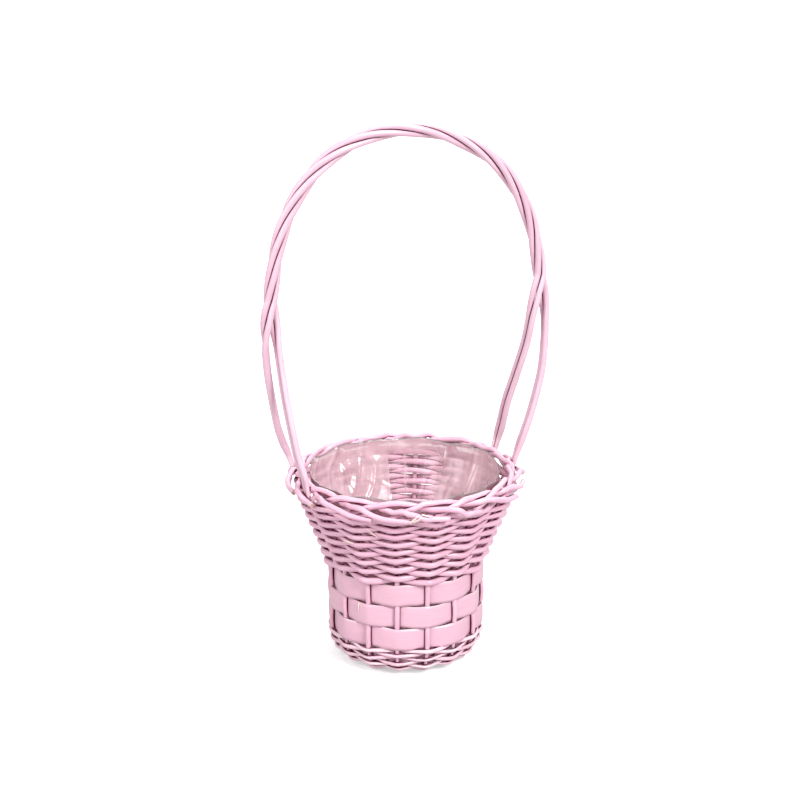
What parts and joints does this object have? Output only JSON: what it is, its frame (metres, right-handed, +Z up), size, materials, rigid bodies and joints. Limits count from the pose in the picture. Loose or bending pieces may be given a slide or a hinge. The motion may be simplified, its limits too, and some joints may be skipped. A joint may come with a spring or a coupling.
{
  "type": "easter basket",
  "caption": "Round wicker basket with a flared rim, plaited border, flat splint waist, tall roped overhead handle and a loose clear film liner.",
  "frame": {"origin": "middle of the underside of the woven base, on the plane it rests on", "axes": "+Z up through the middle of the bowl, +X along the span of the handle, +Y from the front of the bowl to its back"},
  "size_m": [0.252, 0.205, 0.4619],
  "materials": {
    "stake_rods": "satin pink paint over round willow or reed stakes",
    "weaver_rods": "satin pink paint over round weaving rods",
    "splint": "satin pink paint over flat splint",
    "handle_rods": "satin pink paint over thick round rods",
    "film": "thin clear creased plastic film"
  },
  "bodies": {
    "basket": {"base_weaver_1": "weaver_rods", "base_weaver_2": "weaver_rods", "base_weaver_3": "weaver_rods", "base_weaver_4": "weaver_rods", "base_weaver_5": "weaver_rods", "foot_weaver_1": "weaver_rods", "foot_weaver_2": "weaver_rods", "foot_weaver_3": "weaver_rods", "foot_weaver_4": "weaver_rods", "foot_weaver_5": "weaver_rods", "foot_weaver_6": "weaver_rods", "foot_weaver_7": "weaver_rods", "foot_weaver_8": "weaver_rods", "splint_band_1": "splint", "splint_band_2": "splint", "splint_band_3": "splint", "flare_weaver_1": "weaver_rods", "flare_weaver_2": "weaver_rods", "flare_weaver_3": "weaver_rods", "flare_weaver_4": "weaver_rods", "flare_weaver_5": "weaver_rods", "flare_weaver_6": "weaver_rods", "flare_weaver_7": "weaver_rods", "flare_weaver_8": "weaver_rods", "flare_weaver_9": "weaver_rods", "flare_weaver_10": "weaver_rods", "flare_weaver_11": "weaver_rods", "flare_weaver_12": "weaver_rods", "flare_weaver_13": "weaver_rods", "flare_weaver_14": "weaver_rods", "flare_weaver_15": "weaver_rods", "flare_weaver_16": "weaver_rods", "stake_rod_1": "stake_rods", "stake_rod_2": "stake_rods", "stake_rod_3": "stake_rods", "stake_rod_4": "stake_rods", "stake_rod_5": "stake_rods", "stake_rod_6": "stake_rods", "stake_rod_7": "stake_rods", "stake_rod_8": "stake_rods", "handle_rod_1": "handle_rods", "handle_rod_2": "handle_rods", "handle_rod_3": "handle_rods", "handle_rod_4": "handle_rods"},
    "liner": {"film_liner": "film"}
  },
  "joints": [
    {"name": "liner_lift", "type": "slide", "parent": "basket", "child": "liner", "axis": [0, 0, 1], "range_m": [0, 0.16]}
  ]
}
